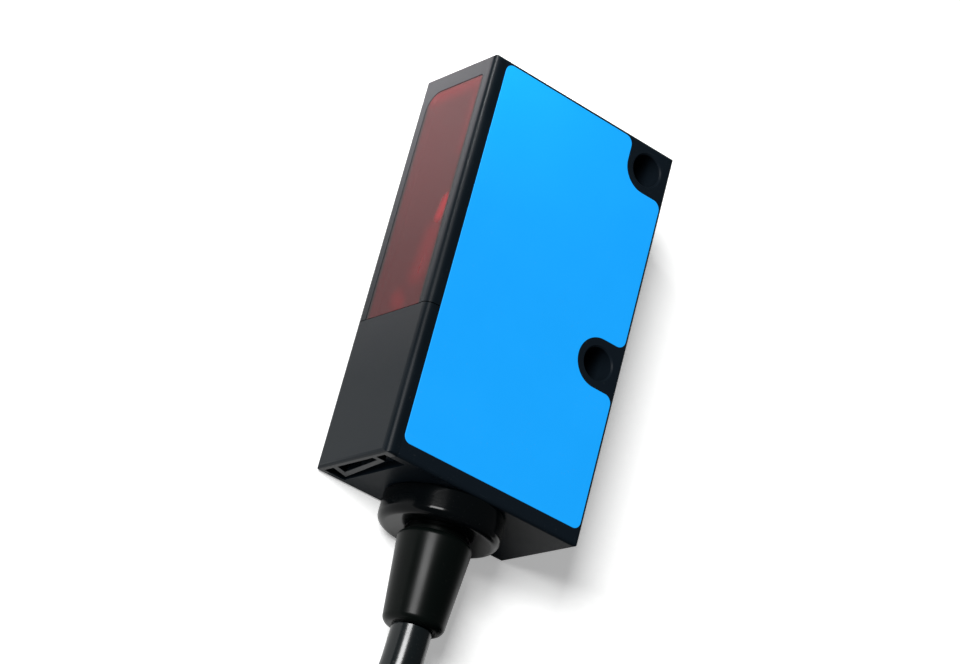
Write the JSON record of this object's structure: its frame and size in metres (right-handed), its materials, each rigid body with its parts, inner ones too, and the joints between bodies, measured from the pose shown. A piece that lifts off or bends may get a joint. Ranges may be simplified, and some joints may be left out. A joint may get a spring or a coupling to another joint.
{
  "type": "photoelectric sensor",
  "caption": "Miniature rectangular photoelectric sensor: black housing, red front screen, blue side label, through mounting holes and a fixed cable with a tapered strain relief.",
  "frame": {"origin": "on the surface the sensor lies on, under the middle of the housing with its cable boss (the cable itself isn't counted)", "axes": "+X along the housing towards the cable end, -Y is the optical front, +Z is the labelled side; the part lies on its other side at Z = 0"},
  "size_m": [0.118, 0.062, 0.0169],
  "materials": {
    "black_housing": "fine spark-eroded texture, satin",
    "blue_label": "satin polyester film, plain light blue",
    "black_front": "satin-gloss moulded black",
    "red_screen": "polished deep red tinted acrylic",
    "black_foam": "closed-cell foam",
    "black_optics": "matt black moulding",
    "clear_lens": "polished clear polycarbonate",
    "diode_resin": "clear to milky epoxy",
    "chip_resin": "moulded epoxy",
    "tinned_steel": "tinned sheet",
    "green_board": "solder-masked glass epoxy",
    "ceramic_parts": "ceramic with tinned ends",
    "yellow_led": "tinted epoxy",
    "green_led": "tinted epoxy",
    "yellow_guide": "polished amber tinted rod",
    "green_guide": "polished green tinted rod",
    "blue_trimmer": "moulded thermoplastic",
    "black_rubber": "nitrile rubber",
    "ivory_rotor": "moulded ivory thermoplastic",
    "black_bush": "smooth moulded black",
    "red_gasket": "silicone",
    "copper_leads": "tinned copper",
    "relief_rubber": "smooth soft-gloss moulded elastomer",
    "cable_jacket": "smooth extruded PVC, soft gloss",
    "tie_nylon": "black nylon",
    "core_brown": "PVC core",
    "core_white": "PVC core",
    "core_blue": "PVC core",
    "core_black": "PVC core",
    "ferrule_tin": "crimped tinned copper sleeve"
  },
  "bodies": {
    "sensor": {"housing": "black_housing", "label": "blue_label", "front_frame": "black_front", "front_screen": "red_screen", "screen_seal": "black_foam", "lower_cover": "black_front", "lens_block": "black_optics", "emitter_lens": "clear_lens", "receiver_lens": "clear_lens", "emitter_diode": "diode_resin", "receiver_chip": "chip_resin", "receiver_shield": "tinned_steel", "circuit_board": "green_board", "control_chip": "chip_resin", "output_transistor": "chip_resin", "board_passives": "ceramic_parts", "output_led": "yellow_led", "power_led": "green_led", "output_light_guide": "yellow_guide", "power_light_guide": "green_guide", "adjuster_base": "blue_trimmer", "adjuster_seal": "black_rubber", "selector_base": "blue_trimmer", "selector_seal": "black_rubber", "cable_bush": "black_bush", "bush_gasket": "red_gasket", "crimp_ring": "tinned_steel", "solder_leads": "copper_leads", "strain_relief": "relief_rubber", "cable_start": "cable_jacket", "cable_lead": "cable_jacket", "cable_coil": "cable_jacket", "coil_tie": "tie_nylon", "core_brown": "core_brown", "core_white": "core_white", "core_blue": "core_blue", "core_black": "core_black", "core_ferrules": "ferrule_tin"},
    "adjuster": {"adjuster_rotor": "ivory_rotor"},
    "selector": {"selector_rotor": "ivory_rotor"}
  },
  "joints": [
    {"name": "adjuster_turn", "type": "hinge", "parent": "sensor", "child": "adjuster", "pos_m": [-0.022, 0.0034, 0.0035], "axis": [-1, 0, 0], "range_deg": [-135, 135]},
    {"name": "selector_turn", "type": "hinge", "parent": "sensor", "child": "selector", "pos_m": [-0.022, 0.0034, 0.0087], "axis": [-1, 0, 0], "range_deg": [0, 180]}
  ]
}
